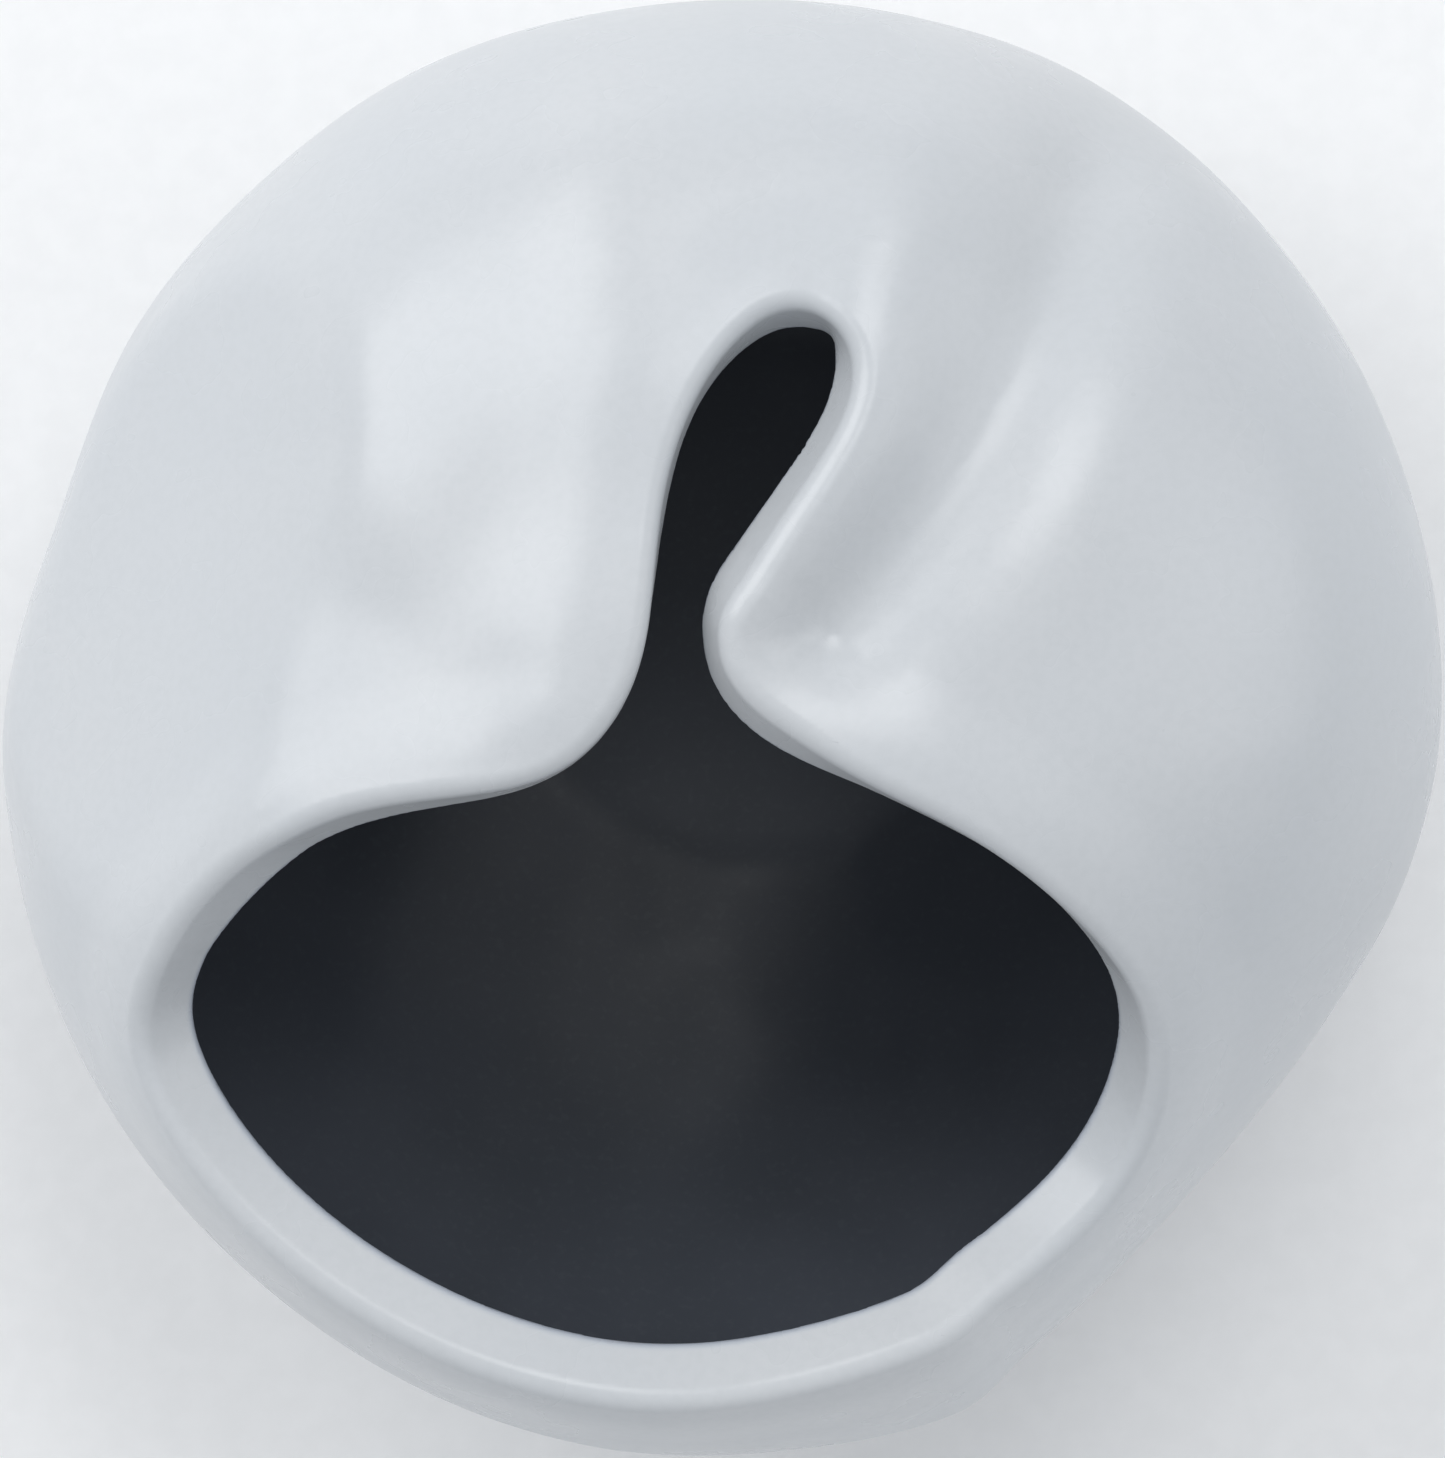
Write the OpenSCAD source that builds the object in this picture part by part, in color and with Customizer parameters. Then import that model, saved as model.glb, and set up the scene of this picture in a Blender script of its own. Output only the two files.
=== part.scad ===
// Ceramic yarn bowl: a closed, softly dented pebble with a wide mouth at the front and
// a yarn slot that runs back from the mouth into a teardrop eye.
// Millimetres, +Z up, mouth towards -Y, origin at the middle of the foot's flat face.

/* [Bowl] */
// Width of the bowl, left to right
bowl_w = 160; // [140:1:180]
// Height of the widest level above the table
belly_z = 46; // [42:1:50]
// Rise of the top above the widest level
crown_h = 57; // [52:1:60]
// Thickness of the glazed wall
wall_t = 7; // [6:0.5:8]
// Thickness of each glaze coat
glaze_t = 0.6; // [0.4:0.1:0.8]

/* [Foot] */
// Radius of the flat foot
foot_r = 34; // [28:1:36]
// Height of the foot under the wall
foot_h = 2.5; // [2:0.5:4]
// Distance of the foot behind the middle of the widest level
foot_back = 17; // [10:1:20]
// Distance of the foot to the right of that middle
foot_side = 4; // [0:1:6]
// Thickness of the floor above the foot
floor_t = 5.5; // [5:0.5:7]

/* [Output] */
// Which piece to draw

/* [Hidden] */

reference_w = 160; // the width that the outline, rim and fold lists below are drawn for
plan_scale = bowl_w / reference_w;
half_wall = wall_t / 2;
crown_mid = crown_h - half_wall; // the middle surface's rise above the belly
base_drop = 49 - half_wall;      // the middle surface's drop below the belly, before the foot cuts it
lower_fullness = 2;              // exponent of the profile below the belly
glaze_line_z = foot_h + 1;       // the outer glaze stops short of the foot
floor_z = foot_h + floor_t;      // the glazed floor
clay_colour = [0.80, 0.74, 0.66];
pale_glaze = [0.84, 0.86, 0.88];
charcoal_glaze = [0.14, 0.16, 0.18];

azimuth_steps = 52;
rise_steps = 14; // rows of the wall from the belly to the top
drop_steps = 8;  // rows from the belly down
rim_steps = 3;   // rings of the lip between two rim points
lip_root = 2;   // the lip's depth into the wall behind its centre line
lip_inset = 0.7; // depth of the lip's root under the wall's faces
lip_over = 0.4;  // the lip is this much thicker than the wall on each side
lip_power = 3;   // 2 is a round lip, more is squarer
glaze_step = 0.8; // the charcoal coat stops this far short of the lip's centre line
big = 400;

// Outline of the widest level about its middle: azimuth, radius.
outline = [
    [0, 80], [20, 80.5], [40, 81.5], [60, 82], [75, 81], [95, 80], [115, 80.5], [130, 79.5],
    [145, 79], [162, 77.5], [180, 80], [190, 80.5], [205, 80], [230, 80], [260, 81], [275, 81],
    [286, 80], [296, 77], [308, 74], [320, 73], [335, 74], [348, 78],
];

// How square the profile is above the belly: azimuth, exponent (2 is an ellipse).
fullness = [
    [0, 2.6], [45, 2.9], [90, 2.7], [135, 2.2], [180, 1.9], [225, 2.4], [270, 2.1], [318, 2.2],
];

// Centre line of the rim, clockwise from the front: x, y, height.
// Each point is only a direction from the middle of the belly, and is moved onto the wall.
rim_points = [
    [-2, -71, 70], [-26.5, -67, 69.5], [-50.5, -52.5, 69.5], [-61.5, -35.5, 72],
    [-59.5, -24.5, 76.5], [-51.5, -15, 83], [-40, -7, 89], [-23.5, -3.5, 95],
    [-15, 1, 97.5], [-11.5, 11, 100.5], [-9.5, 25, 100], [-4.5, 39.5, 98],
    [9, 49.5, 94.5], [17, 40, 99.5], [13, 29, 100], [4.5, 16.5, 100],
    [2, 9.5, 99], [5.5, 3, 98.5], [24, -7, 96], [34.5, -13, 92.5],
    [44.5, -27.5, 82.5], [45.5, -37.5, 77.5], [40, -49.5, 71.5], [20.5, -65, 71.5],
];
rim_reference = [0, 0, 46]; // the belly height that the rim heights are drawn for

// Folds pressed into the wall: path seen from above, height (minus is a dent), half width.
folds = [
    [[[33, 54], [29, 42], [23, 31], [16, 21], [9, 13]], -6, 7], // trough right of the slot
    [[[18, 42], [13, 28], [4, 15]], 2.5, 4],                    // crest of the slot's right lip
    [[[-8, 38], [-12, 24], [-13, 8]], 2, 6],                    // slot's broad left lip
    [[[-17, 35], [-30, 22]], -3.5, 9],                          // shallow trough on the left
    [[[-20, 11], [-22, 6]], 1.5, 8],                            // swell of the left lobe
    [[[-42, 60], [-41, 32], [-46, 12], [-46, -6]], 2, 6],       // soft ridge down the left side
    [[[-33, 52], [-33, 40]], -2.5, 7],                          // dents right of that ridge
    [[[-37, 9], [-37, 0]], -2.5, 7],
    [[[-57, 6], [-56, 0]], -1.5, 9],                            // dent left of it
    [[[76, 14], [71, -7], [62, -18], [51, -29]], 1.5, 7],       // crease of the right shoulder
];

function turn(a) = a - 360 * floor(a / 360);
function ease(t) = let(c = min(1, max(0, t))) c * c * (3 - 2 * c);
function hermite(a, b, slope_a, slope_b, t) =
    (1 + 2 * t) * pow(1 - t, 2) * a + t * pow(1 - t, 2) * slope_a
    + t * t * (3 - 2 * t) * b + t * t * (t - 1) * slope_b;

// Entry k of a table of [azimuth, value] pairs that goes round and round.
function entry(table, k) =
    let(n = len(table), lap = floor(k / n))
    table[k - lap * n] + [360 * lap, 0];
function slope(table, k) =
    let(before = entry(table, k - 1), after = entry(table, k + 1))
    (after[1] - before[1]) / (after[0] - before[0]);
// Smooth value of the table at an azimuth.
function around(table, azimuth) =
    let(
        a = turn(azimuth),
        k = len([for (row = table) if (row[0] <= a) 1]) - 1,
        from = entry(table, k),
        to = entry(table, k + 1),
        span = to[0] - from[0]
    )
    hermite(from[1], to[1], slope(table, k) * span, slope(table, k + 1) * span, (a - from[0]) / span);

// Distance from point p to the stretch from a to b, and to a whole path.
function stretch_distance(p, a, b) =
    let(along = b - a, t = min(1, max(0, (p - a) * along / (along * along))))
    norm(p - a - t * along);
function path_distance(p, path) =
    min([for (i = [1:len(path) - 1]) stretch_distance(p, path[i - 1], path[i])]);
function fold_height(p) =
    [for (f = folds) f[1] * exp(-pow(path_distance(p, f[0]) / f[2], 2))] * [for (f = folds) 1];

// Distance of the wall's middle surface from the middle of the belly, in one direction.
function smooth_radius(azimuth, rise) =
    let(
        reach = around(outline, azimuth) * plan_scale - half_wall,
        height = rise > 0 ? crown_mid : base_drop,
        power = rise > 0 ? around(fullness, azimuth) : lower_fullness
    )
    pow(pow(cos(rise) / reach, power) + pow(abs(sin(rise)) / height, power), -1 / power);
function wall_radius(azimuth, rise) =
    let(
        r = smooth_radius(azimuth, rise),
        seen = r * cos(rise) / plan_scale * [cos(azimuth), sin(azimuth)]
    )
    r + fold_height(seen) * ease(2 * sin(rise));

// Point of the middle surface. Below the belly the wall leans back over the foot.
function wall_point(azimuth, rise) =
    let(
        r = wall_radius(azimuth, rise),
        z = belly_z + r * sin(rise),
        lean = ease(1 - z / belly_z)
    )
    [r * cos(rise) * cos(azimuth) + foot_side * (lean - 1),
     r * cos(rise) * sin(azimuth) + foot_back * (lean - 1), z];

// Grid of the middle surface: one row per rise, from the bottom up, poles as single points.
belly_middle = [-foot_side, -foot_back, belly_z];
rises = concat(
    [for (i = [1:drop_steps]) -90 + 90 * i / (drop_steps + 1)],
    [for (i = [0:rise_steps - 1]) 90 * i / rise_steps]
);
rows = len(rises);
columns = azimuth_steps;
bottom_point = wall_point(0, -90);
top_point = wall_point(0, 90);
grid = [for (rise = rises) [for (j = [0:columns - 1]) wall_point(360 * j / columns, rise)]];

function unit(v) = v / norm(v);
function grid_point(i, j) =
    i < 0 ? bottom_point : i >= rows ? top_point : grid[i][(j + columns) % columns];
function grid_normal(i, j) =
    unit(cross(grid_point(i, j + 1) - grid_point(i, j - 1), grid_point(i + 1, j) - grid_point(i - 1, j)));
normals = [for (i = [0:rows - 1]) [for (j = [0:columns - 1]) grid_normal(i, j)]];
top_normal = unit(cross(
    grid[rows - 1][0] - grid[rows - 1][columns / 2],
    grid[rows - 1][columns / 4] - grid[rows - 1][3 * columns / 4]
));

// Closed solid inside the middle surface moved outwards by an offset.
module skin(offset) {
    points = concat(
        [for (i = [0:rows - 1]) for (j = [0:columns - 1]) grid[i][j] + offset * normals[i][j]],
        [bottom_point - [0, 0, offset], top_point + offset * top_normal]
    );
    bottom = rows * columns;
    top = bottom + 1;
    last = (rows - 1) * columns;
    polyhedron(points, concat(
        [for (i = [0:rows - 2]) for (j = [0:columns - 1])
            let(a = i * columns + j, b = i * columns + (j + 1) % columns)
            each [[a, a + columns, b], [b, a + columns, b + columns]]],
        [for (j = [0:columns - 1]) [bottom, j, (j + 1) % columns]],
        [for (j = [0:columns - 1]) [top, last + (j + 1) % columns, last + j]]
    ));
}

// Closed smooth curve through the rim points, as directions from the middle of the belly.
rim_count = len(rim_points);
function rim_entry(k) = rim_points[(k + rim_count) % rim_count] - rim_reference;
function rim_slope(k) =
    let(
        back = rim_entry(k) - rim_entry(k - 1),
        ahead = rim_entry(k + 1) - rim_entry(k),
        before = sqrt(norm(back)),
        after = sqrt(norm(ahead))
    )
    back / before - (back + ahead) / (before + after) + ahead / after;
function rim_direction(k, t) =
    let(span = sqrt(norm(rim_entry(k + 1) - rim_entry(k))))
    hermite(rim_entry(k), rim_entry(k + 1), rim_slope(k) * span, rim_slope(k + 1) * span, t);
rim_directions = [for (k = [0:rim_count - 1]) for (i = [0:rim_steps - 1]) rim_direction(k, i / rim_steps)];
rings = len(rim_directions);

function azimuth_of(d) = atan2(d[1], d[0]);
function rise_of(d) = atan2(d[2], norm([d[0], d[1]]));
nudge = 0.5; // degrees, for the slope of the wall at the rim
function wall_normal(azimuth, rise) =
    unit(cross(
        wall_point(azimuth + nudge, rise) - wall_point(azimuth - nudge, rise),
        wall_point(azimuth, rise + nudge) - wall_point(azimuth, rise - nudge)
    ));
rim_line = [for (d = rim_directions) wall_point(azimuth_of(d), rise_of(d))];
rim_out = [for (d = rim_directions) wall_normal(azimuth_of(d), rise_of(d))];
rim_in = [for (k = [0:rings - 1])
    unit(cross(rim_line[(k + 1) % rings] - rim_line[(k + rings - 1) % rings], rim_out[k]))];

// The mouth and slot, cut square through the wall along the rim's centre line, or along
// that line moved back into the wall. Inside, the cut narrows to the middle of the belly.
module mouth_cut(back = 0) {
    height = big / 2;
    edge = [for (k = [0:rings - 1]) rim_line[k] - back * rim_in[k]];
    inner = [for (k = [0:rings - 1]) edge[k] - wall_t * rim_out[k]];
    outer = [for (k = [0:rings - 1]) edge[k] + wall_t * rim_out[k]];
    far = [for (p = outer) let(d = p - belly_middle) belly_middle + d * height / d[2]];
    apex = 3 * rings;
    polyhedron(
        concat(inner, outer, far, [belly_middle]),
        concat(
            [for (k = [0:rings - 1]) [apex, (k + 1) % rings, k]],
            [for (level = [0:1]) for (k = [0:rings - 1])
                let(a = level * rings + k, b = level * rings + (k + 1) % rings)
                each [[a, b, a + rings], [b, b + rings, a + rings]]],
            [[for (k = [0:rings - 1]) 2 * rings + k]]
        )
    );
}

// Points across the lip: [towards the opening, towards the outside]. The lip stands a
// little proud of the wall, and its root slopes down into the wall on both sides.
lip_angles = [-90:30:90];
function lip_section(half) = concat(
    [[-lip_root, lip_inset - half]],
    [for (a = lip_angles)
        let(r = (half + lip_over) * pow(pow(abs(cos(a)), lip_power) + pow(abs(sin(a)), lip_power), -1 / lip_power))
        r * [cos(a), sin(a)]],
    [[-lip_root, half - lip_inset]]
);

// Lip swept round the rim.
module lip(half) {
    section = lip_section(half);
    n = len(section);
    polyhedron(
        [for (k = [0:rings - 1]) for (p = section) rim_line[k] + p[0] * rim_in[k] + p[1] * rim_out[k]],
        [for (k = [0:rings - 1]) for (i = [0:n - 1])
            let(
                a = k * n + i,
                b = k * n + (i + 1) % n,
                c = ((k + 1) % rings) * n + i,
                d = ((k + 1) % rings) * n + (i + 1) % n
            )
            each [[a, b, c], [b, d, c]]]
    );
}

module above(z) {
    translate([0, 0, z + big / 2])
        cube(big, center = true);
}

// Hollow vessel whose wall reaches the same distance to both sides of the middle surface.
module vessel(half, inner_floor) {
    difference() {
        intersection() {
            skin(half);
            above(foot_h);
        }
        intersection() {
            skin(-half);
            above(inner_floor);
        }
        mouth_cut();
    }
    lip(half);
}

// Both glaze coats: what the glazed vessel has outside the clay.
module both_coats() {
    difference() {
        vessel(half_wall, floor_z);
        vessel(half_wall - glaze_t, floor_z - glaze_t);
    }
}

// Everything on the inner side of the wall, up to the inner corner of the lip.
module inner_side() {
    difference() {
        skin(0);
        mouth_cut(back = glaze_step);
    }
}

// Resizing to [0, 0, 0] keeps the size and makes one closed surface of the free-form wall.
module one_surface() {
    resize([0, 0, 0])
        children();
}

module clay_body() {
    color(clay_colour) {
        one_surface()
            vessel(half_wall - glaze_t, floor_z - glaze_t);
        cylinder(h = foot_h, r = foot_r, $fn = 96);
    }
}

module outer_glaze() {
    color(pale_glaze)
        one_surface()
            difference() {
                intersection() {
                    both_coats();
                    above(glaze_line_z);
                }
                inner_side();
            }
}

module inner_glaze() {
    color(charcoal_glaze)
        one_surface()
            intersection() {
                both_coats();
                inner_side();
            }
}

clay_body();
outer_glaze();
inner_glaze();
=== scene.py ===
"""Yarn bowl: the visual model, its glazes, and the studio it is seen in. Lengths in millimetres
until a mesh is made, and then in metres. +Z up, mouth towards -Y, origin at the middle of the foot."""

import bpy
import numpy as np
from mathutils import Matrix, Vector


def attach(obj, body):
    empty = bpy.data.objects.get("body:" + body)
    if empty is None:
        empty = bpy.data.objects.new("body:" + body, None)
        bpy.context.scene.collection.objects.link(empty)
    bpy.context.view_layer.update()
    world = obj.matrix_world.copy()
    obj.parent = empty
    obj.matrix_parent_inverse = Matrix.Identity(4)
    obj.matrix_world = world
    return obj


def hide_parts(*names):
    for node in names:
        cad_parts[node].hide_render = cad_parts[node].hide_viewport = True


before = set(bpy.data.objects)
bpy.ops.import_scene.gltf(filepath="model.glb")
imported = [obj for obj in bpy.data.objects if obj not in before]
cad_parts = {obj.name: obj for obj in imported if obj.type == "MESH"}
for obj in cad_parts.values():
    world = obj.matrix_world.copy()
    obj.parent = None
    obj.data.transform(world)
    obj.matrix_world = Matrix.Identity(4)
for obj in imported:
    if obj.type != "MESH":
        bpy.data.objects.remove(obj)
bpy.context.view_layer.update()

MM = 0.001

# ---------------------------------------------------------------- the bowl's measures, mm
BELLY_Z = 46.0        # height of the widest level
CROWN = 57.0          # rise of the top above it
BASE_DROP = 49.0      # drop of the wall below it, before the foot cuts it
LOWER_FULLNESS = 2.0  # exponent of the profile below it
WALL = 7.0            # glazed wall
HALF = WALL / 2
FLOOR_Z = 8.0         # glazed floor inside
FLOOR_BLEND = 0.8     # softness of the corner between floor and wall

FOOT_R = 34.0
FOOT_H = 2.5
FOOT_TUCK = 1.0       # the foot runs this far up into the wall
FOOT_EDGE = 0.7       # radius of its worn edge
FOOT_SHIFT = np.array([4.0, 17.0])  # its place from the middle of the belly
MIDDLE = np.array([-FOOT_SHIFT[0], -FOOT_SHIFT[1], BELLY_Z])

LIP_CORNER_OUT = 2.0  # radius of the lip's outer corner, and of its inner one
LIP_CORNER_IN = 1.0
LIP_SWELL = 0.8       # the wall grows this much thicker outwards at the lip
SWELL_REACH = 10.0    # over this distance
LIP_LOWEST = BELLY_Z + 8  # the whole lip is above this height
BESIDE_WALL = HALF + 3    # the lip's shape is worked out up to this far from the middle surface
FAR_BEHIND = -14.0    # stands for any place well behind the rim

GLAZE_LINE = FOOT_H + 1.0  # lower edge of the pale glaze
GLAZE_WAVES = ((3, 0.25, 0.0), (8, 0.15, 1.0))  # its waves: number round the bowl, height, phase
CHARCOAL_EDGE = 1.4   # the charcoal coat reaches this far past the rim's centre line
FLOOR_COAT = (FLOOR_Z - 2, FLOOR_Z + 4)  # between these heights the inside is all charcoal

CELL = 1.05  # mesh size, halved at the lip
LIP_ZONE = 2.0        # which starts this far behind the rim's centre line
BOX_LOW = np.array([-90.0, -104, -2])  # corners of the space that is meshed
BOX_HIGH = np.array([84.0, 72, 112])
SNAP = 0.15           # points this near a line where two coats meet count as on it

# Outline of the widest level about its middle: azimuth, radius.
OUTLINE = np.array([
    (0, 79.5), (20, 80.5), (40, 81.5), (60, 82.5), (75, 81.5), (95, 80.5), (115, 80.5), (130, 79.5),
    (145, 79), (162, 77.5), (180, 80), (190, 80), (205, 80), (230, 80), (260, 81), (275, 80.5),
    (286, 80.5), (290, 80), (296, 77), (308, 74), (320, 73), (335, 74.5), (348, 77.5),
])

# How square the profile is above the belly: azimuth, exponent (2 is an ellipse).
FULLNESS = np.array([
    (0, 2.6), (45, 2.9), (90, 2.7), (135, 2.2), (180, 1.9), (225, 2.4), (270, 2.1), (318, 2.2),
])

# Control points of the rim's centre line, clockwise from the front: x, y, height, about the
# middle of the belly. Each is only a direction from that middle, and is moved on to the wall.
RIM_POINTS = np.array([
    (-1, -72.5, 67), (-26, -67, 68), (-51, -51.5, 68.5), (-63, -33.5, 69), (-60.5, -24, 75.5),
    (-55, -15, 82.5), (-40.5, -5, 89.5), (-23, -4, 97.5), (-14.5, 0.5, 99), (-11, 9.5, 100),
    (-10, 25, 97.5), (-6, 37, 97), (-0.5, 44, 95.5), (5.5, 47.5, 94.5), (12.5, 46.5, 95), (17, 40, 97),
    (15.5, 31.5, 97.5), (9, 22, 99), (2.5, 12.5, 99.5), (2, 10.5, 99), (3, 3, 98), (26, -7, 97),
    (36.5, -14, 94), (46.5, -25, 85.5), (48, -36, 77.5), (42, -49.5, 68), (20.5, -63.5, 71.5),
])

# Flat places in the wall: azimuth and rise of the direction each faces, its distance from the
# middle of the belly, and the softness of the crease round it.
FACETS = [
    (166, 42, 64.5, 1.2),  # left side
    (322, 20, 72, 3),      # right front
]

# Folds pressed into the wall: a curve seen from above (start, lead, end), height (minus is a
# dent), half width.
FOLDS = [
    ((38, 58), (32, 30), (12, 11), -4.5, 8.5),    # trough right of the slot
    ((17, 48), (12, 29), (2, 15), 1.6, 5.5),      # steep rise of the slot's right lip
    ((-10, 46), (-16, 28), (-16, 4), 1.2, 6.5),   # slot's broad left lip
    ((-15, 26), (-24, 19), (-33, 12), -1.1, 10),  # shallow trough on the left
    ((-40, 0), (-41, 10), (-41, 28), -0.6, 8),    # dent beside the left side's crease
    ((-19, 8), (-19, 5), (-18, 2), 0.6, 8),       # swell of the left lobe
    ((52, 46), (56, 20), (30, 3), -1.2, 11),      # shallow dent of the right dome
    ((-10, 58), (4, 63), (16, 57), 2.2, 8.5),     # swell behind the slot's eye
]
FOLD_STEPS = 8       # stretches in a fold's curve
LEAST_HEAD_ON = 0.1  # a flat place does nothing beyond this cosine


# ---------------------------------------------------------------- the wall's shape
def ease(t):
    """Smooth step from 0 to 1."""
    t = np.clip(t, 0, 1)
    return t * t * (3 - 2 * t)


def around(table, azimuth):
    """Smooth value, at each azimuth in degrees, of a table that goes round and round."""
    az, value = table[:, 0], table[:, 1]
    az_ring = np.concatenate([az[-1:] - 360, az, az[:1] + 360])
    value_ring = np.concatenate([value[-1:], value, value[:1]])
    slopes = (value_ring[2:] - value_ring[:-2]) / (az_ring[2:] - az_ring[:-2])
    azimuth = np.mod(azimuth, 360)
    i = np.clip(np.searchsorted(az, azimuth, side="right") - 1, 0, len(az) - 1)
    j = (i + 1) % len(az)
    span = np.where(j > i, az[j] - az[i], az[0] + 360 - az[i])
    t = (azimuth - az[i]) / span
    return ((1 + 2 * t) * (1 - t) ** 2 * value[i] + t * (1 - t) ** 2 * span * slopes[i]
            + t * t * (3 - 2 * t) * value[j] + t * t * (t - 1) * span * slopes[j])


def stretch_distance(x, y, a, b):
    """Distance from points to the straight stretch from a to b."""
    dx, dy = b[0] - a[0], b[1] - a[1]
    t = np.clip(((x - a[0]) * dx + (y - a[1]) * dy) / (dx * dx + dy * dy), 0, 1)
    return np.hypot(x - a[0] - t * dx, y - a[1] - t * dy)


def fold_curve(start, lead, end):
    """Points of the quadratic curve from start to end, bent towards lead."""
    t = np.arange(FOLD_STEPS + 1)[:, None] / FOLD_STEPS
    return (1 - t) ** 2 * np.array(start) + 2 * t * (1 - t) * np.array(lead) + t * t * np.array(end)


def fold_height(x, y):
    """How far all the folds together push the wall out, about the middle of the belly."""
    total = np.zeros_like(x)
    for start, lead, end, height, spread in FOLDS:
        path = fold_curve(start, lead, end)
        d = np.min([stretch_distance(x, y, a, b) for a, b in zip(path[:-1], path[1:])], axis=0)
        total += height * np.exp(-(d / spread) ** 2)
    return total


def soft_min(a, b, soft):
    """Smaller of two values, with a soft change from one to the other."""
    share = np.clip(0.5 + 0.5 * (b - a) / soft, 0, 1)
    return b * (1 - share) + a * share - soft * share * (1 - share)


def wall_radius(azimuth, rise):
    """Distance of the middle surface from the middle of the belly. Azimuth in degrees, rise in radians."""
    up = rise > 0
    reach = around(OUTLINE, azimuth) - HALF
    height = np.where(up, CROWN, BASE_DROP) - HALF
    power = np.where(up, around(FULLNESS, azimuth), LOWER_FULLNESS)
    r = ((np.cos(rise) / reach) ** power + (np.abs(np.sin(rise)) / height) ** power) ** (-1 / power)
    for facing, tilt, distance, soft in FACETS:
        tilt = np.radians(tilt)
        head_on = (np.cos(rise) * np.cos(tilt) * np.cos(np.radians(azimuth - facing))
                   + np.sin(rise) * np.sin(tilt))
        r = soft_min(r, (distance - HALF) / np.maximum(head_on, LEAST_HEAD_ON), soft)
    a = np.radians(azimuth)
    level = r * np.cos(rise)
    folds_share = ease(2 * np.sin(rise))  # none at the belly, whole where the wall rises 30 degrees
    return r + fold_height(level * np.cos(a), level * np.sin(a)) * folds_share


def lean(z):
    """How far, from 0 to 1, the wall has leaned back over the foot at a height."""
    return ease(1 - z / BELLY_Z)


def wall_point(azimuth, rise):
    """The middle surface's point in a direction from the middle of the belly."""
    r = wall_radius(azimuth, rise)
    a = np.radians(azimuth)
    z = BELLY_Z + r * np.sin(rise)
    x = MIDDLE[0] + r * np.cos(rise) * np.cos(a) + FOOT_SHIFT[0] * lean(z)
    y = MIDDLE[1] + r * np.cos(rise) * np.sin(a) + FOOT_SHIFT[1] * lean(z)
    return np.stack([x, y, z], -1)


def polar(p):
    """Radius, azimuth and rise of points about the middle of the belly, with the lean taken out."""
    x = p[:, 0] - MIDDLE[0] - FOOT_SHIFT[0] * lean(p[:, 2])
    y = p[:, 1] - MIDDLE[1] - FOOT_SHIFT[1] * lean(p[:, 2])
    z = p[:, 2] - MIDDLE[2]
    level = np.hypot(x, y)
    return np.hypot(level, z), np.degrees(np.arctan2(y, x)), np.arctan2(z, level)


GRADIENT_STEP = 0.2  # mm


def gradient(field, p):
    """Slope of a field at points, by central differences."""
    g = np.empty_like(p)
    for k in range(3):
        d = np.zeros(3)
        d[k] = GRADIENT_STEP
        g[:, k] = (field(p + d) - field(p - d)) / (2 * GRADIENT_STEP)
    return g


def beyond_wall(p):
    """How much further points are from the middle of the belly than the wall's middle surface."""
    r, azimuth, rise = polar(p)
    return r - wall_radius(azimuth, rise)


# The wall's steepness changes slowly, so it is kept as a table over azimuth and rise.
TABLE_STEP = 2.0  # degrees
TABLE_AZ = np.arange(-180, 180 + TABLE_STEP, TABLE_STEP)
TABLE_RISE = np.arange(-90, 90 + TABLE_STEP, TABLE_STEP)


def make_tables():
    """The wall's radius and steepness over azimuth and rise."""
    az, rise = np.meshgrid(TABLE_AZ, TABLE_RISE, indexing="ij")
    r = wall_radius(az.ravel(), np.radians(rise.ravel()))
    p = wall_point(az.ravel(), np.radians(rise.ravel()))
    steep = 1 / np.linalg.norm(gradient(beyond_wall, p), axis=1)
    return r.reshape(az.shape), steep.reshape(az.shape)


RADIUS_TABLE, STEEP_TABLE = make_tables()


def look_up(table, azimuth, rise):
    """Value of a table at directions, straight between its entries."""
    u = (azimuth + 180) / TABLE_STEP
    v = (np.degrees(rise) + 90) / TABLE_STEP
    i = np.clip(u.astype(int), 0, table.shape[0] - 2)
    j = np.clip(v.astype(int), 0, table.shape[1] - 2)
    u, v = u - i, v - j
    return ((table[i, j] * (1 - u) + table[i + 1, j] * u) * (1 - v)
            + (table[i, j + 1] * (1 - u) + table[i + 1, j + 1] * u) * v)


def depth(p, rough=False):
    """Distance outwards from the wall's middle surface."""
    r, azimuth, rise = polar(p)
    radius = look_up(RADIUS_TABLE, azimuth, rise) if rough else wall_radius(azimuth, rise)
    return (r - radius) * look_up(STEEP_TABLE, azimuth, rise)


# ---------------------------------------------------------------- the rim
def rim_curve(per_point):
    """Closed smooth curve led by the rim's control points, as directions from the belly's middle."""
    before, here, after, last = (np.roll(RIM_POINTS, k, 0)[:, None] for k in (1, 0, -1, -2))
    t = (np.arange(per_point) / per_point)[None, :, None]
    curve = ((1 - t) ** 3 * before + (3 * t ** 3 - 6 * t * t + 4) * here
             + (3 * t + 3 * t * t - 3 * t ** 3 + 1) * after + t ** 3 * last) / 6
    return curve.reshape(-1, 3) - np.array([0, 0, BELLY_Z])


def unit(v):
    """Vectors of length 1."""
    return v / np.linalg.norm(v, axis=-1, keepdims=True)


def rim_line():
    """The rim's centre line on the wall's middle surface."""
    ways = rim_curve(RIM_PER_POINT)
    azimuth = np.degrees(np.arctan2(ways[:, 1], ways[:, 0]))
    rise = np.arctan2(ways[:, 2], np.hypot(ways[:, 0], ways[:, 1]))
    return wall_point(azimuth, rise)


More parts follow.
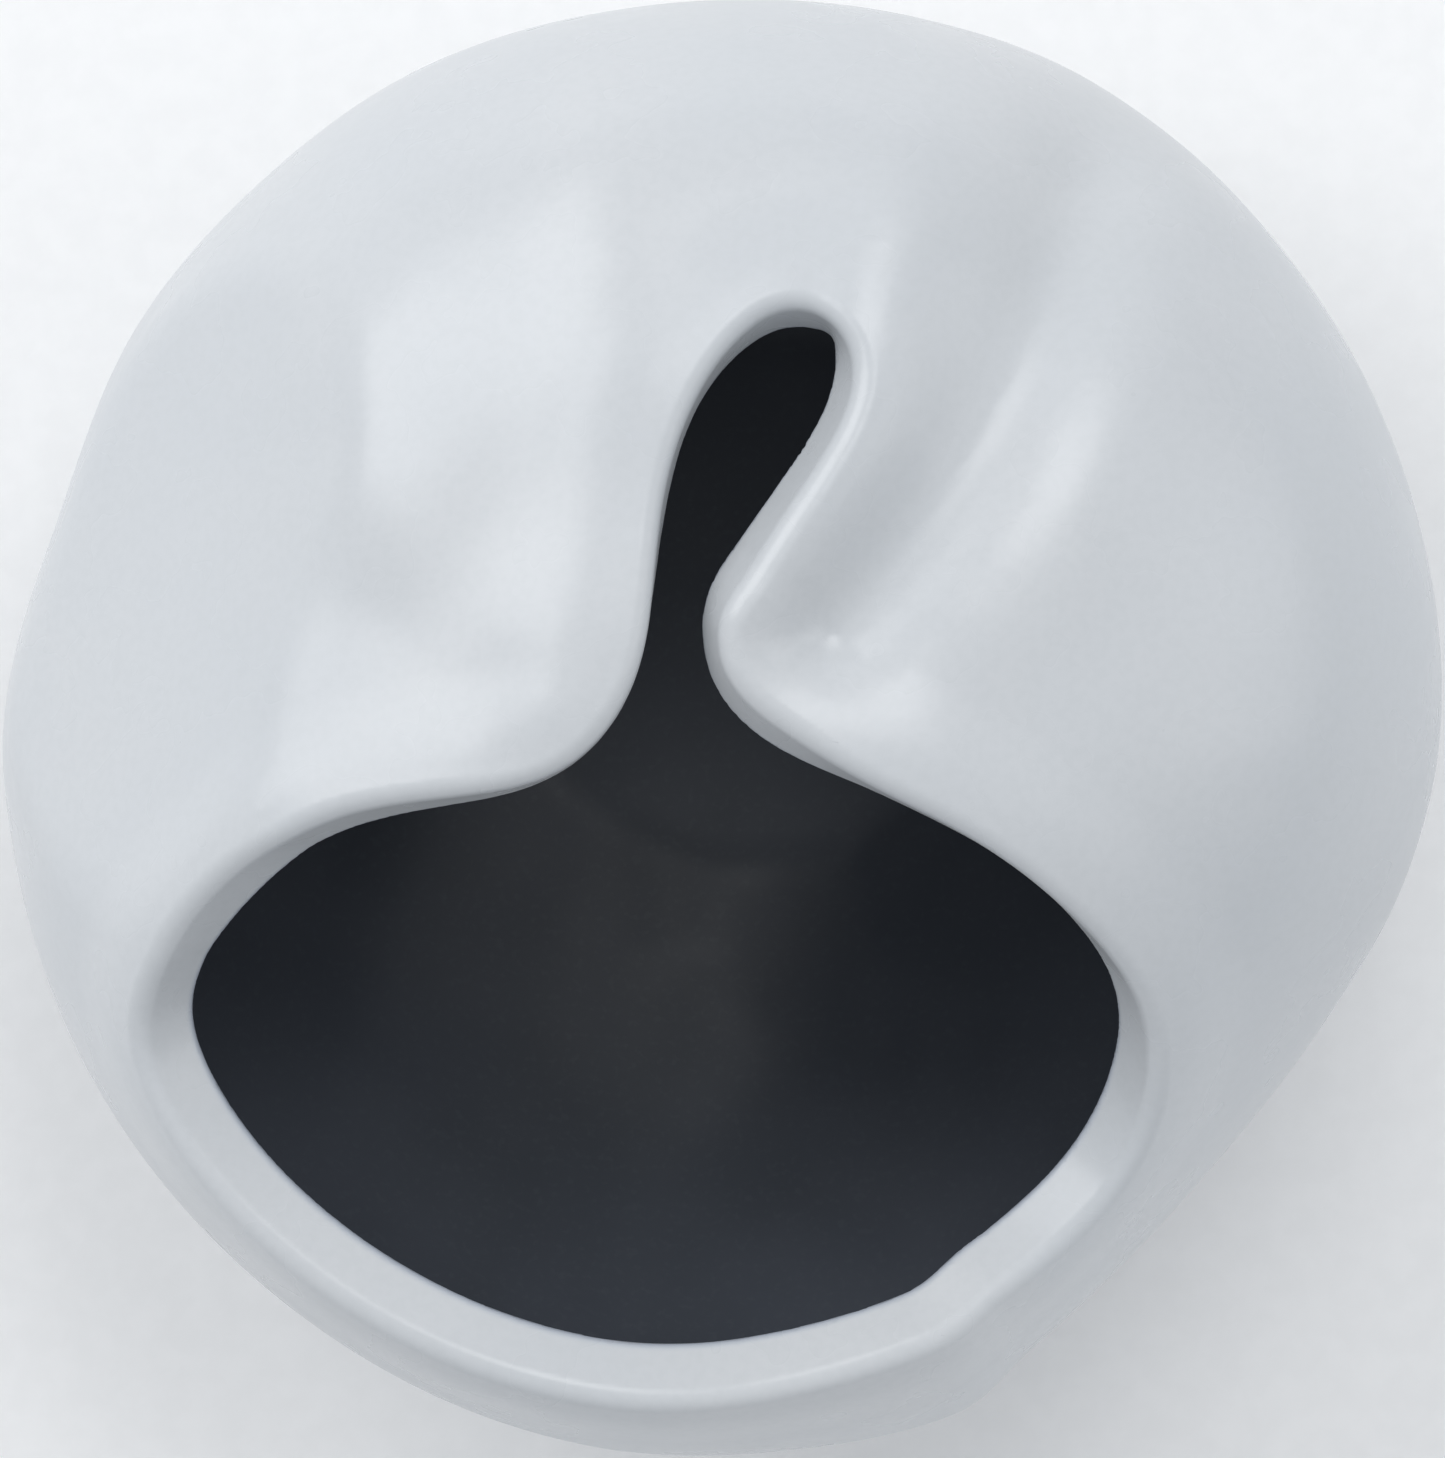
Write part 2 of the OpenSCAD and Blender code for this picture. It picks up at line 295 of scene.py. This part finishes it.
def neighbour_step(line):
    """From the point before to the point after, for each point of a closed line."""
    return np.roll(line, -1, 0) - np.roll(line, 1, 0)


RIM_PER_POINT = 40
RIM = rim_line()
RIM_OUT = unit(gradient(beyond_wall, RIM))
RIM_ALONG = unit(neighbour_step(RIM))
RIM_IN = unit(np.cross(RIM_ALONG, RIM_OUT))  # across the rim, towards the opening
RIM_TURN = neighbour_step(RIM_IN) / np.linalg.norm(neighbour_step(RIM), axis=1)[:, None]
BATCH = 40000  # points compared with the rim at a time


def past_rim(p):
    """Distance past the rim's centre line towards the opening (minus is in the wall)."""
    near = np.empty(len(p), int)  # the nearest of the line's points
    line = RIM.astype(np.float32)
    size = (line ** 2).sum(1)
    for start in range(0, len(p), BATCH):
        q = p[start:start + BATCH].astype(np.float32)
        near[start:start + BATCH] = (size[None] - 2 * q @ line.T).argmin(1)
    offset = p - RIM[near]
    along = (offset * RIM_ALONG[near]).sum(1)
    across = unit(RIM_IN[near] + along[:, None] * RIM_TURN[near])
    return ((offset - along[:, None] * RIM_ALONG[near]) * across).sum(1)


def rounded(across, up, corner):
    """Distance to a rounded corner, from the distances past the centre of its rounding."""
    return (np.hypot(np.maximum(across, 0), np.maximum(up, 0))
            + np.minimum(np.maximum(across, up), 0) - corner)


def lip(d, past):
    """The wall's thickness, closed off square past the rim's centre line, with rounded corners."""
    outside = d > 0
    corner = np.where(outside, LIP_CORNER_OUT, LIP_CORNER_IN)
    swell = np.where(outside, LIP_SWELL * ease(1 + past / SWELL_REACH), 0)
    side = np.abs(d) - (HALF + swell - corner)
    front = past - (HALF - corner)
    return rounded(side, front, corner)


def foot(p):
    """The turned foot: a disc with a worn edge."""
    side = np.hypot(p[:, 0], p[:, 1]) - (FOOT_R - FOOT_EDGE)
    middle_z = (FOOT_H + FOOT_TUCK) / 2
    up = np.abs(p[:, 2] - middle_z) - (middle_z - FOOT_EDGE)
    return rounded(side, up, FOOT_EDGE)


def vessel(p, rough=False):
    """Signed distance to the glazed vessel, in mm: minus is inside the ceramic."""
    d = depth(p, rough)
    low = p[:, 2] < LIP_LOWEST
    past = np.full(len(p), FAR_BEHIND)
    near = ~low & (np.abs(d) < BESIDE_WALL)
    if near.any():
        past[near] = past_rim(p[near])
    solid = lip(d, past)
    inside = soft_min(-d[low] - HALF, p[low, 2] - FLOOR_Z, FLOOR_BLEND)
    solid[low] = np.maximum(d[low] - HALF, inside)
    return np.minimum(np.maximum(solid, FOOT_H - p[:, 2]), foot(p))


# ---------------------------------------------------------------- from the distance to a mesh
CORNERS = np.array([(i, j, k) for i in (0, 1) for j in (0, 1) for k in (0, 1)])
CELL_EDGES = [(a, b) for a in range(8) for b in range(a + 1, 8)
              if np.abs(CORNERS[a] - CORNERS[b]).sum() == 1]


def net(field, low, high, cell):
    """Closed surface of quads round the place where a field is below 0."""
    axes = [np.arange(low[k], high[k] + cell, cell) for k in range(3)]
    shape = tuple(len(a) for a in axes)
    values = np.empty(shape)
    for i, x in enumerate(axes[0]):
        y, z = np.meshgrid(axes[1], axes[2], indexing="ij")
        values[i] = field(np.stack([np.full(y.size, x), y.ravel(), z.ravel()], 1)).reshape(y.shape)
    inside = values < 0
    count = sum(inside[i:shape[0] - 1 + i, j:shape[1] - 1 + j, k:shape[2] - 1 + k].astype(np.int8)
                for i, j, k in CORNERS)
    cells = np.argwhere((count > 0) & (count < 8))
    ids = np.full(shape, -1)
    ids[tuple(cells.T)] = np.arange(len(cells))
    corner = values[tuple((cells[:, None] + CORNERS[None]).transpose(2, 0, 1))]
    total = np.zeros((len(cells), 3))
    hits = np.zeros(len(cells))
    for a, b in CELL_EDGES:
        cut = (corner[:, a] < 0) != (corner[:, b] < 0)
        t = corner[cut, a] / (corner[cut, a] - corner[cut, b])
        total[cut] += CORNERS[a] + t[:, None] * (CORNERS[b] - CORNERS[a])
        hits[cut] += 1
    points = np.array([a[0] for a in axes]) + cell * (cells + total / hits[:, None])
    quads = []
    for axis in range(3):
        step = np.eye(3, dtype=int)[axis]
        u, v = np.eye(3, dtype=int)[(axis + 1) % 3], np.eye(3, dtype=int)[(axis + 2) % 3]
        here = inside[tuple(slice(0, n - s) for n, s in zip(shape, step))]
        there = inside[tuple(slice(s, n) for n, s in zip(shape, step))]
        spots = np.argwhere(here != there)
        ring = [ids[tuple((spots - o).T)] for o in (u + v, v, 0 * u, u)]
        quad = np.stack(ring, 1)
        flip = ~here[tuple(spots.T)]
        quad[flip] = quad[flip][:, ::-1]
        quads.append(quad)
    return points, np.concatenate(quads)


LEAST_STEEP = 0.25  # square of the least slope that a step is worked out from


def settle(points, field, rounds=2):
    """Moves points on to the surface where a field is 0."""
    for _ in range(rounds):
        g = gradient(field, points)
        value = field(points)
        points = points - (value / np.maximum((g * g).sum(1), LEAST_STEEP))[:, None] * g
    return points


RELAX_SHARE = 0.6  # how far a point goes towards the middle of its neighbours


def relax(points, quads, rounds):
    """Evens out the mesh by moving each point towards the middle of its neighbours."""
    a = quads.ravel()
    b = np.roll(quads, -1, 1).ravel()
    number = np.bincount(a, minlength=len(points)) + np.bincount(b, minlength=len(points))
    for _ in range(rounds):
        total = [np.bincount(a, points[b, k], len(points)) + np.bincount(b, points[a, k], len(points))
                 for k in range(3)]
        mean = np.stack(total, 1) / number[:, None]
        points = points + RELAX_SHARE * (mean - points)
    return points


def refine(points, triangles, near):
    """Halves the triangles' sides where both ends are marked near."""
    sides = np.sort(np.stack([triangles, np.roll(triangles, -1, 1)], 2), 2)
    marked = near[sides].all(2)
    found, index = np.unique(sides[marked], axis=0, return_inverse=True)
    middle = np.full(triangles.shape, -1)
    middle[marked] = len(points) + index.ravel()
    points = np.concatenate([points, points[found].mean(1)])
    number = marked.sum(1)
    out = [triangles[number == 0]]
    t, m = triangles[number == 3], middle[number == 3]
    out += [np.stack(c, 1) for c in ((t[:, 0], m[:, 0], m[:, 2]), (t[:, 1], m[:, 1], m[:, 0]),
                                     (t[:, 2], m[:, 2], m[:, 1]), (m[:, 0], m[:, 1], m[:, 2]))]
    t, m = triangles[number == 1], middle[number == 1]
    first = marked[number == 1].argmax(1)
    row = np.arange(len(t))
    a, b, c, mid = t[row, first], t[row, (first + 1) % 3], t[row, (first + 2) % 3], m[row, first]
    out += [np.stack((a, mid, c), 1), np.stack((mid, b, c), 1)]
    return points, np.concatenate(out)


def split(points, triangles, value, snap):
    """Cuts triangles along the line where a value is 0. Returns the points and the two halves."""
    value = np.where(np.abs(value) < snap, 0.0, value)
    side = np.sign(value).astype(int)
    corner = side[triangles]
    whole_plus = (corner >= 0).all(1) & (corner > 0).any(1)
    whole_minus = (corner <= 0).all(1)
    plus = [triangles[whole_plus]]
    minus = [triangles[whole_minus]]
    crossed = triangles[~whole_plus & ~whole_minus]
    made = {}
    new_points = []

    def middle(i, j):
        key = (min(i, j), max(i, j))
        if key not in made:
            t = value[key[0]] / (value[key[0]] - value[key[1]])
            made[key] = len(points) + len(new_points)
            new_points.append(points[key[0]] * (1 - t) + points[key[1]] * t)
        return made[key]

    extra = {1: [], -1: []}
    for tri in crossed.tolist():
        loops = {1: [], -1: []}
        for i, j in zip(tri, tri[1:] + tri[:1]):
            if side[i] >= 0:
                loops[1].append(i)
            if side[i] <= 0:
                loops[-1].append(i)
            if side[i] * side[j] < 0:
                m = middle(i, j)
                loops[1].append(m)
                loops[-1].append(m)
        for sign, loop in loops.items():
            extra[sign] += [(loop[0], loop[k], loop[k + 1]) for k in range(1, len(loop) - 1)]
    points = np.concatenate([points, np.array(new_points).reshape(-1, 3)])
    return (points, np.concatenate(plus + [np.array(extra[1], int).reshape(-1, 3)]),
            np.concatenate(minus + [np.array(extra[-1], int).reshape(-1, 3)]))


def coat_side(p):
    """Minus where the charcoal coat lies, plus where the pale one does."""
    d = depth(p)
    z = p[:, 2]
    past = np.full(len(p), FAR_BEHIND)
    near = z > LIP_LOWEST
    past[near] = past_rim(p[near])
    coat = np.maximum(d, past - CHARCOAL_EDGE)
    floor_low, floor_high = FLOOR_COAT
    on_floor = (z < floor_high) & (d < HALF - 1) & (z > floor_low)
    return np.where(on_floor, -1.0, coat)


def glaze_side(p):
    """Plus above the lower edge of the pale glaze, which wanders a little."""
    azimuth = np.arctan2(p[:, 1], p[:, 0])
    line = GLAZE_LINE
    for number, height, phase in GLAZE_WAVES:
        line = line + height * np.sin(number * azimuth + phase)
    return p[:, 2] - line


def make_piece(name, points, triangles, normals, marks):
    """A mesh object of some of the triangles. Marks are values kept at each point, by name."""
    used, index = np.unique(triangles, return_inverse=True)
    mesh = bpy.data.meshes.new(name)
    mesh.from_pydata((points[used] * MM).tolist(), [], index.reshape(-1, 3).tolist())
    mesh.polygons.foreach_set("use_smooth", np.ones(len(mesh.polygons), bool))
    for mark, values in marks.items():
        layer = mesh.attributes.new(mark, "FLOAT", "POINT")
        layer.data.foreach_set("value", values[used].astype(np.float32))
    mesh.normals_split_custom_set_from_vertices(normals[used].tolist())
    mesh.update()
    piece = bpy.data.objects.new(name, mesh)
    bpy.context.scene.collection.objects.link(piece)
    return piece


def build_vessel():
    """The whole surface as one mesh, cut into the two coats and the bare foot."""
    points, quads = net(lambda p: vessel(p, rough=True), BOX_LOW, BOX_HIGH, CELL)
    points = settle(relax(points, quads, 3), vessel)
    points = settle(relax(points, quads, 2), vessel)
    triangles = np.concatenate([quads[:, [0, 1, 2]], quads[:, [0, 2, 3]]])
    near = (past_rim(points) > -LIP_ZONE) & (points[:, 2] > BELLY_Z)
    points, triangles = refine(points, triangles, near)
    points = settle(points, vessel, 1)
    points, pale, dark = split(points, triangles, coat_side(points), SNAP)
    points, pale, bare = split(points, pale, glaze_side(points), SNAP)
    points = settle(points, vessel, 1)
    normals = unit(gradient(vessel, points))
    marks = {"wall_depth": depth(points)}
    return [make_piece(name, points, part, normals, marks)
            for name, part in (("pale_glaze", pale), ("charcoal_glaze", dark), ("bare_foot", bare))]


# ---------------------------------------------------------------- materials
def linear(r, g, b):
    """A screen colour, 0 to 255, as the linear colour a shader takes."""
    return tuple(c / 12.92 if c <= 0.04045 else ((c + 0.055) / 1.055) ** 2.4
                 for c in (r / 255, g / 255, b / 255)) + (1.0,)


class Shader:
    """A material under construction."""

    def __init__(self, name):
        self.material = bpy.data.materials.new(name)
        self.material.use_nodes = True
        self.tree = self.material.node_tree
        self.surface = self.tree.nodes["Principled BSDF"]
        self.place = self.add("ShaderNodeTexCoord").outputs["Object"]

    def add(self, kind, **settings):
        """A new node."""
        node = self.tree.nodes.new(kind)
        for key, value in settings.items():
            setattr(node, key, value)
        return node

    def feed(self, socket, value):
        """Gives a socket another node's output, or a plain value."""
        if isinstance(value, bpy.types.NodeSocket):
            self.tree.links.new(value, socket)
        else:
            socket.default_value = value

    def noise(self, scale, detail=2.0, rough=0.5):
        """Cloudy values near 0.5. Scale is in clouds per metre."""
        node = self.add("ShaderNodeTexNoise")
        self.feed(node.inputs["Vector"], self.place)
        node.inputs["Scale"].default_value = scale
        node.inputs["Detail"].default_value = detail
        node.inputs["Roughness"].default_value = rough
        return node.outputs["Fac"]

    def spread(self, value, low, high, to_low=0.0, to_high=1.0):
        """Smooth change from to_low to to_high as the value goes from low to high."""
        node = self.add("ShaderNodeMapRange", interpolation_type="SMOOTHSTEP")
        for key, entry in (("Value", value), ("From Min", low), ("From Max", high),
                           ("To Min", to_low), ("To Max", to_high)):
            self.feed(node.inputs[key], entry)
        return node.outputs["Result"]

    def combine(self, kind, a, b):
        """Result of one operation on two values."""
        node = self.add("ShaderNodeMath", operation=kind)
        self.feed(node.inputs[0], a)
        self.feed(node.inputs[1], b)
        return node.outputs[0]

    def blend(self, factor, a, b):
        """Colour a where the factor is 0, colour b where it is 1."""
        node = self.add("ShaderNodeMix", data_type="RGBA")
        self.feed(node.inputs[0], factor)
        self.feed(node.inputs[6], a)
        self.feed(node.inputs[7], b)
        return node.outputs[2]

    def along(self, axis):
        """Place along an axis, in metres."""
        node = self.add("ShaderNodeSeparateXYZ")
        self.feed(node.inputs[0], self.place)
        return node.outputs[axis]

    def mark(self, name):
        """Value that the mesh keeps at each point."""
        return self.add("ShaderNodeAttribute", attribute_name=name).outputs["Fac"]

    def specks(self, scale, share, size):
        """1 in small round spots, 0 elsewhere. Share is the part of the cells that have a spot."""
        node = self.add("ShaderNodeTexVoronoi")
        self.feed(node.inputs["Vector"], self.place)
        node.inputs["Scale"].default_value = scale
        chosen = self.add("ShaderNodeSeparateColor")
        self.feed(chosen.inputs[0], node.outputs["Color"])
        picked = self.combine("LESS_THAN", chosen.outputs[0], share)
        spot = self.spread(node.outputs["Distance"], size, size * 0.5)
        return self.combine("MULTIPLY", picked, spot)

    def bump(self, layers):
        """Heights, each with its size in metres."""
        normal = None
        for height, size in layers:
            node = self.add("ShaderNodeBump")
            self.feed(node.inputs["Height"], height)
            node.inputs["Distance"].default_value = size
            if normal:
                self.feed(node.inputs["Normal"], normal)
            normal = node.outputs["Normal"]
        self.feed(self.surface.inputs["Normal"], normal)


def pale_glaze():
    """Satin white glaze: faint clouds and grain, a few sunk specks, painted bluish shade at the lip's
    inner corner, and worn to tan in patches there at the front."""
    s = Shader("pale_satin_glaze")
    clouds = s.spread(s.noise(22, 3), 0.3, 0.7)
    colour = s.blend(clouds, linear(205, 209, 213), linear(209, 212, 215))
    grain = s.spread(s.noise(900, 2), 0.35, 0.7)
    colour = s.blend(s.combine("MULTIPLY", grain, 0.25), colour, linear(199, 203, 206))
    specks = s.specks(60, 0.045, 0.022)
    colour = s.blend(s.combine("MULTIPLY", specks, 0.6), colour, linear(122, 112, 100))
    deep = s.mark("wall_depth")  # mm outwards from the wall's middle surface
    # painted shade: the lip's inner corner and inner face are coloured bluish grey, as if in shade
    painted_shade_inner_corner = s.spread(deep, -2.0, -3.2)
    colour = s.blend(s.combine("MULTIPLY", painted_shade_inner_corner, 0.55), colour, linear(164, 176, 196))
    thin = s.spread(deep, -2.7, -3.1)
    front = s.spread(s.along("Y"), -0.083, -0.086)
    patches = s.spread(s.noise(160, 2), 0.42, 0.56)
    thin = s.combine("MULTIPLY", s.combine("MULTIPLY", thin, front), patches)
    colour = s.blend(s.combine("MULTIPLY", thin, 0.8), colour, linear(150, 122, 96))
    s.feed(s.surface.inputs["Base Color"], colour)
    s.feed(s.surface.inputs["Roughness"], s.spread(s.noise(70, 3), 0.3, 0.7, 0.24, 0.33))
    s.surface.inputs["IOR"].default_value = 1.5
    s.bump([(s.noise(28, 2), 0.00025), (s.noise(450, 2), 0.000008), (specks, -0.00012)])
    return s.material


def charcoal_glaze():
    """Satin charcoal glaze: faint clouds and a fine lighter grain."""
    s = Shader("charcoal_satin_glaze")
    clouds = s.spread(s.noise(30, 3), 0.3, 0.7)
    colour = s.blend(clouds, linear(78, 83, 91), linear(85, 90, 99))
    grain = s.spread(s.noise(1100, 2), 0.5, 0.75)
    colour = s.blend(s.combine("MULTIPLY", grain, 0.3), colour, linear(96, 101, 109))
    s.feed(s.surface.inputs["Base Color"], colour)
    s.feed(s.surface.inputs["Roughness"], s.spread(s.noise(80, 3), 0.3, 0.7, 0.3, 0.38))
    s.bump([(s.noise(30, 2), 0.0003), (s.noise(700, 2), 0.00001)])
    return s.material


def bare_clay():
    """Matte stoneware with grog and iron specks."""
    s = Shader("bare_stoneware")
    grain = s.spread(s.noise(700, 3, 0.7), 0.3, 0.7)
    colour = s.blend(grain, linear(176, 158, 136), linear(198, 183, 162))
    iron = s.specks(420, 0.12, 0.2)
    colour = s.blend(s.combine("MULTIPLY", iron, 0.7), colour, linear(104, 78, 56))
    s.feed(s.surface.inputs["Base Color"], colour)
    s.feed(s.surface.inputs["Roughness"], s.spread(grain, 0, 1, 0.78, 0.9))
    s.bump([(grain, 0.00012), (s.noise(2600, 2), 0.00005)])
    return s.material


def floor_paper():
    """White paper with faint fibres."""
    s = Shader("studio_floor")
    fibres = s.spread(s.noise(300, 3), 0.3, 0.7)
    colour = s.blend(fibres, linear(250, 250, 250), linear(253, 253, 253))
    s.feed(s.surface.inputs["Base Color"], colour)
    s.surface.inputs["Roughness"].default_value = 0.9
    return s.material


# ---------------------------------------------------------------- the studio, in metres
FLOOR_REACH = 1.6       # from the origin to the floor's sides
CAMERA_HEIGHT = 1.0     # straight above the middle of the belly
VIEW_HEIGHT = 0.1624    # the part of the belly's level seen from top to bottom of the picture
SENSOR = 36.0           # mm, along the picture's longer side
CLIP_END = 10.0
SKY = (0.93, 0.96, 1.0, 1.0)
SKY_STRENGTH = 0.55
LIGHTS = (              # name, place, side of the square light, watts
    ("key", (-0.95, 0.6, 0.85), 0.9, 7.3),
    ("overhead", (0.25, 0.75, 1.35), 0.7, 5.2),
    ("fill", (1.1, 0.1, 0.7), 0.8, 1.9),
)


def studio_floor():
    mesh = bpy.data.meshes.new("studio_floor")
    r = FLOOR_REACH
    mesh.from_pydata([(-r, -r, 0), (r, -r, 0), (r, r, 0), (-r, r, 0)], [], [(0, 1, 2, 3)])
    floor = bpy.data.objects.new("studio_floor", mesh)
    bpy.context.scene.collection.objects.link(floor)
    floor.data.materials.append(floor_paper())


def area_light(name, place, size, power, target):
    light = bpy.data.lights.new(name, "AREA")
    light.shape = "RECTANGLE"
    light.size = light.size_y = size
    light.energy = power
    lamp = bpy.data.objects.new(name, light)
    lamp.location = place
    lamp.rotation_euler = (Vector(target) - Vector(place)).to_track_quat("-Z", "Y").to_euler()
    bpy.context.scene.collection.objects.link(lamp)


def sky():
    world = bpy.data.worlds.new("studio")
    world.use_nodes = True
    background = world.node_tree.nodes["Background"]
    background.inputs["Color"].default_value = SKY
    background.inputs["Strength"].default_value = SKY_STRENGTH
    bpy.context.scene.world = world


def camera_above(target):
    camera = bpy.data.cameras.new("camera")
    camera.sensor_width = SENSOR
    camera.lens = SENSOR * (CAMERA_HEIGHT - target[2]) / VIEW_HEIGHT
    camera.clip_end = CLIP_END
    viewer = bpy.data.objects.new("camera", camera)
    viewer.location = (target[0], target[1], CAMERA_HEIGHT)
    bpy.context.scene.collection.objects.link(viewer)
    bpy.context.scene.camera = viewer


def studio():
    middle = MIDDLE * MM
    studio_floor()
    for name, place, size, power in LIGHTS:
        area_light(name, place, size, power, middle)
    sky()
    camera_above(middle)
    bpy.context.scene.view_settings.view_transform = "Standard"


# ---------------------------------------------------------------- the whole
outer, inner, base = build_vessel()
PIECES = (
    (outer, "outer_glaze", pale_glaze),
    (inner, "inner_glaze", charcoal_glaze),
    (base, "clay_body", bare_clay),
)
for piece, node, material in PIECES:
    piece.data.materials.append(material())
    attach(piece, "root")
    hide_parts(node)
studio()
